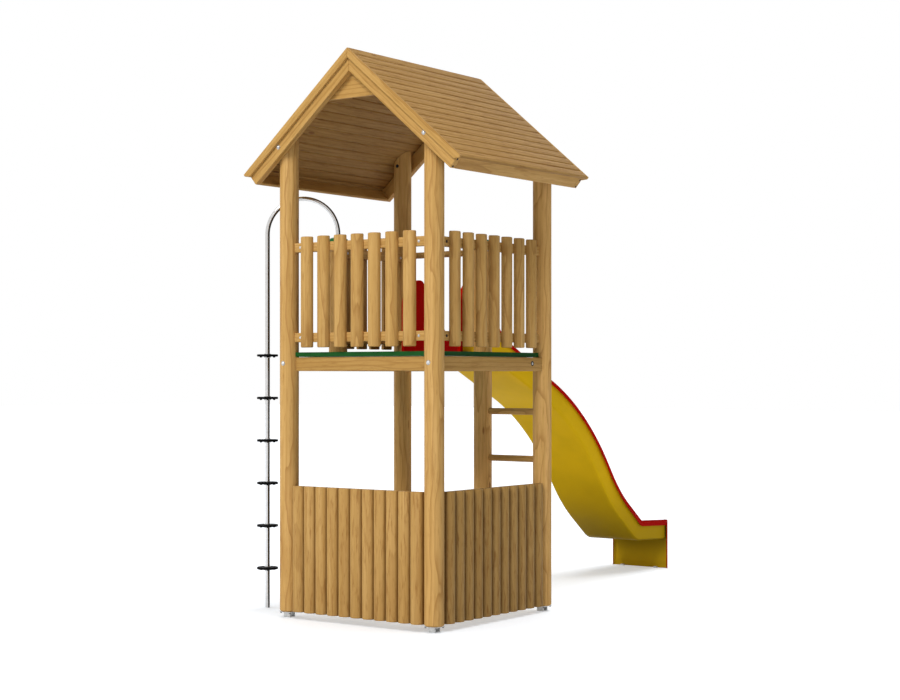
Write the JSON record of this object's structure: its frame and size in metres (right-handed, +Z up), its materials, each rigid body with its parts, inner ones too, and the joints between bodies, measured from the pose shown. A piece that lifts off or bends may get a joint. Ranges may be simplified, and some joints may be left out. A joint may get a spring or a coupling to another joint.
{
  "type": "timber play tower with slide",
  "caption": "Timber play tower: a raised deck with railings under a gabled roof, half-round log walls below, a ladder, a slide and a bent disc pole.",
  "frame": {"origin": "middle of the sole of the front left foot, on the ground", "axes": "+X along the front gable from left to right, +Y from the front gable to the rear, where the slide leaves, +Z up"},
  "size_m": [1.8868, 3.9723, 3.5097],
  "materials": {
    "timber": "planed and pressure treated pine, round posts and half-round battens, satin",
    "roof_timber": "planed pine boards with rounded edges, satin",
    "steel": "galvanised and stainless steel, bright",
    "green_board": "film faced deck board, dark green",
    "green_cap": "moulded post cap, green",
    "slide_yellow": "glass fibre moulding, yellow outside and red on the bed and rim",
    "slide_red": "glass fibre moulding, red face and edge",
    "black_rubber": "moulded rubber foot disc, matt black"
  },
  "bodies": {
    "root": {"beam_front": "timber", "beam_left": "timber", "beam_rear_ladder": "timber", "beam_rear_slide": "timber", "beam_right": "timber", "cap_mid": "green_cap", "cap_short": "green_cap", "deck": "green_board", "disc_1": "black_rubber", "disc_2": "black_rubber", "disc_3": "black_rubber", "disc_4": "black_rubber", "disc_5": "black_rubber", "disc_6": "black_rubber", "disc_pole": "steel", "fascia_left": "timber", "fascia_right": "timber", "foot_front_left": "steel", "foot_front_right": "steel", "foot_mid": "steel", "foot_rear_left": "steel", "foot_rear_right": "steel", "gusset_front": "timber", "gusset_rear": "timber", "post_front_left": "timber", "post_front_right": "timber", "post_mid": "timber", "post_rear_left": "timber", "post_rear_right": "timber", "post_short": "timber", "rafter_front_left": "timber", "rafter_front_right": "timber", "rafter_rear_left": "timber", "rafter_rear_right": "timber", "railing_front": "timber", "railing_left": "timber", "railing_right": "timber", "roof_left": "roof_timber", "roof_right": "roof_timber", "rung_1": "timber", "rung_2": "timber", "rung_3": "timber", "rung_4": "timber", "slide": "slide_yellow", "slide_bar": "timber", "slide_end_panel": "slide_red", "wall_front": "timber", "wall_right": "timber"}
  },
  "joints": []
}
